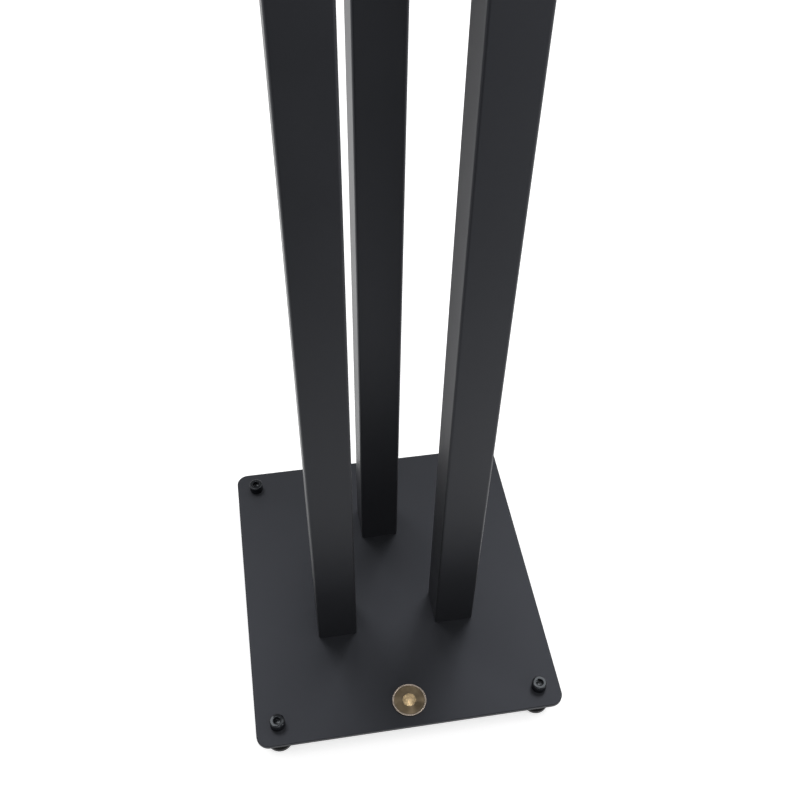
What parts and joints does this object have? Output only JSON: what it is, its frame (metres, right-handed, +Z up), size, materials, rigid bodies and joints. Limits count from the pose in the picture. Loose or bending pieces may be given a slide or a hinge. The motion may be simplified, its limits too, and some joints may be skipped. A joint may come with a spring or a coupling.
{
  "type": "speaker stand",
  "caption": "Floor stand for a bookshelf loudspeaker: a small top plate on three square pillars over a larger base plate with screw-adjusted feet and a plain round badge.",
  "frame": {"origin": "on the floor under the centre of the base plate", "axes": "+Z up, +X to the right, -Y to the front, where the badge is"},
  "size_m": [0.27, 0.295, 0.7],
  "materials": {
    "powder_coat": "satin black powder coat, fine texture",
    "steel": "bare machined steel",
    "black_screw": "black oxide",
    "gloss_black_screw": "glossy black plating",
    "moulded_plastic": "glossy black moulded plastic",
    "rubber": "matt black rubber",
    "adhesive": "acrylic foam tape",
    "badge_brass": "darkened turned brass with a polished rim and boss"
  },
  "bodies": {
    "stand_frame": {"base_plate": "powder_coat", "top_plate": "powder_coat", "front_left_pillar": "powder_coat", "front_left_lower_block": "steel", "front_left_upper_block": "steel", "front_left_lower_screw_1": "black_screw", "front_left_lower_screw_2": "black_screw", "front_left_upper_screw_1": "black_screw", "front_left_upper_screw_2": "black_screw", "front_right_pillar": "powder_coat", "front_right_lower_block": "steel", "front_right_upper_block": "steel", "front_right_lower_screw_1": "black_screw", "front_right_lower_screw_2": "black_screw", "front_right_upper_screw_1": "black_screw", "front_right_upper_screw_2": "black_screw", "rear_pillar": "powder_coat", "rear_lower_block": "steel", "rear_upper_block": "steel", "rear_lower_screw_1": "black_screw", "rear_lower_screw_2": "black_screw", "rear_upper_screw_1": "black_screw", "rear_upper_screw_2": "black_screw", "front_left_weld_nut": "powder_coat", "front_left_speaker_pad": "rubber", "front_right_weld_nut": "powder_coat", "front_right_speaker_pad": "rubber", "rear_left_weld_nut": "powder_coat", "rear_left_speaker_pad": "rubber", "rear_right_weld_nut": "powder_coat", "rear_right_speaker_pad": "rubber", "badge_adhesive": "adhesive", "badge_disc": "badge_brass"},
    "front_left_foot": {"front_left_foot_cup": "moulded_plastic", "front_left_foot_sole": "rubber"},
    "front_left_screw": {"front_left_levelling_screw": "gloss_black_screw"},
    "front_right_foot": {"front_right_foot_cup": "moulded_plastic", "front_right_foot_sole": "rubber"},
    "front_right_screw": {"front_right_levelling_screw": "gloss_black_screw"},
    "rear_left_foot": {"rear_left_foot_cup": "moulded_plastic", "rear_left_foot_sole": "rubber"},
    "rear_left_screw": {"rear_left_levelling_screw": "gloss_black_screw"},
    "rear_right_foot": {"rear_right_foot_cup": "moulded_plastic", "rear_right_foot_sole": "rubber"},
    "rear_right_screw": {"rear_right_levelling_screw": "gloss_black_screw"}
  },
  "joints": [
    {"name": "front_left_foot_height", "type": "slide", "parent": "stand_frame", "child": "front_left_foot", "axis": [0, 0, 1], "range_m": [0, 0.0075]},
    {"name": "front_left_screw_turn", "type": "hinge", "parent": "front_left_foot", "child": "front_left_screw", "pos_m": [-0.116, -0.1285, 0.032], "axis": [0, 0, 1], "range_deg": [0, 2160]},
    {"name": "front_right_foot_height", "type": "slide", "parent": "stand_frame", "child": "front_right_foot", "axis": [0, 0, 1], "range_m": [0, 0.0075]},
    {"name": "front_right_screw_turn", "type": "hinge", "parent": "front_right_foot", "child": "front_right_screw", "pos_m": [0.116, -0.1285, 0.032], "axis": [0, 0, 1], "range_deg": [0, 2160]},
    {"name": "rear_left_foot_height", "type": "slide", "parent": "stand_frame", "child": "rear_left_foot", "axis": [0, 0, 1], "range_m": [0, 0.0075]},
    {"name": "rear_left_screw_turn", "type": "hinge", "parent": "rear_left_foot", "child": "rear_left_screw", "pos_m": [-0.116, 0.1285, 0.032], "axis": [0, 0, 1], "range_deg": [0, 2160]},
    {"name": "rear_right_foot_height", "type": "slide", "parent": "stand_frame", "child": "rear_right_foot", "axis": [0, 0, 1], "range_m": [0, 0.0075]},
    {"name": "rear_right_screw_turn", "type": "hinge", "parent": "rear_right_foot", "child": "rear_right_screw", "pos_m": [0.116, 0.1285, 0.032], "axis": [0, 0, 1], "range_deg": [0, 2160]}
  ],
  "couplings": [
    {"joint": "front_left_screw_turn", "follows": "front_left_foot_height", "rad_per_m": 5026.5},
    {"joint": "front_right_screw_turn", "follows": "front_right_foot_height", "rad_per_m": 5026.5},
    {"joint": "rear_left_screw_turn", "follows": "rear_left_foot_height", "rad_per_m": 5026.5},
    {"joint": "rear_right_screw_turn", "follows": "rear_right_foot_height", "rad_per_m": 5026.5}
  ]
}
